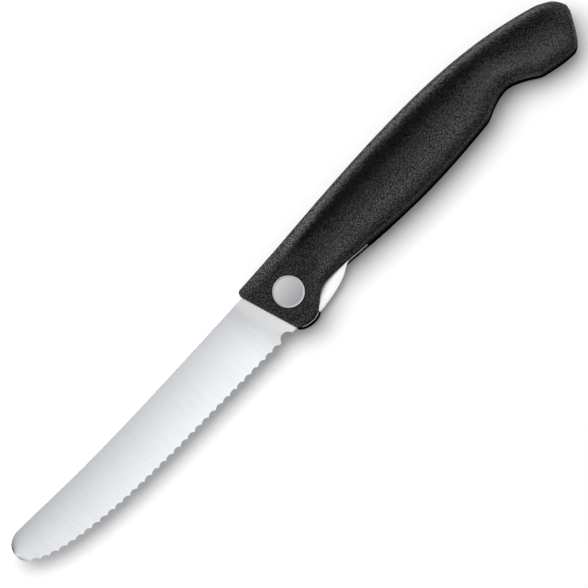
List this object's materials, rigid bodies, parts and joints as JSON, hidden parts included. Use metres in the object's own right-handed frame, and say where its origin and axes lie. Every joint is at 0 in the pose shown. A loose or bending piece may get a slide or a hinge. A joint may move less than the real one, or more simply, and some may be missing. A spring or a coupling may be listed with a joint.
{
  "type": "folding paring knife",
  "caption": "Folding paring knife, open: round-tipped wavy-edged steel blade on a rivet pivot in a black two-half handle, with a thumb-released lock arm.",
  "frame": {"origin": "on the pivot axis, at the outer face of the far rivet head", "axes": "+X runs from the pivot to the butt of the handle, +Y towards the spine, +Z along the pivot towards the near side; the open blade runs to -X"},
  "size_m": [0.2444, 0.0276, 0.0148],
  "materials": {
    "blade_steel": "satin-polished stainless sheet",
    "handle_plastic": "black moulded plastic with a fine even grain",
    "rivet_steel": "satin turned steel",
    "spring_steel": "bright rolled spring steel",
    "washer_nylon": "plain pale nylon"
  },
  "bodies": {
    "handle": {"near_scale": "handle_plastic", "far_scale": "handle_plastic", "pivot_barrel": "rivet_steel", "pivot_pin": "rivet_steel", "near_washer": "washer_nylon", "far_washer": "washer_nylon", "lock_liner": "spring_steel", "liner_rivet_front": "rivet_steel", "liner_rivet_upper": "rivet_steel", "liner_rivet_lower": "rivet_steel", "stop_pin": "rivet_steel"},
    "blade": {"blade": "blade_steel"},
    "lock_arm": {"lock_arm": "spring_steel", "lock_stud": "rivet_steel"}
  },
  "joints": [
    {"name": "blade_fold", "type": "hinge", "parent": "handle", "child": "blade", "pos_m": [0, 0, 0.0056], "axis": [0, 0, 1], "range_deg": [0, 180]},
    {"name": "lock_press", "type": "hinge", "parent": "handle", "child": "lock_arm", "pos_m": [0.048, 0, 0.00387], "axis": [0, -1, 0], "range_deg": [-1.66, 0], "stiffness_Nm_per_rad": 0.1, "springref_deg": -1.66}
  ]
}
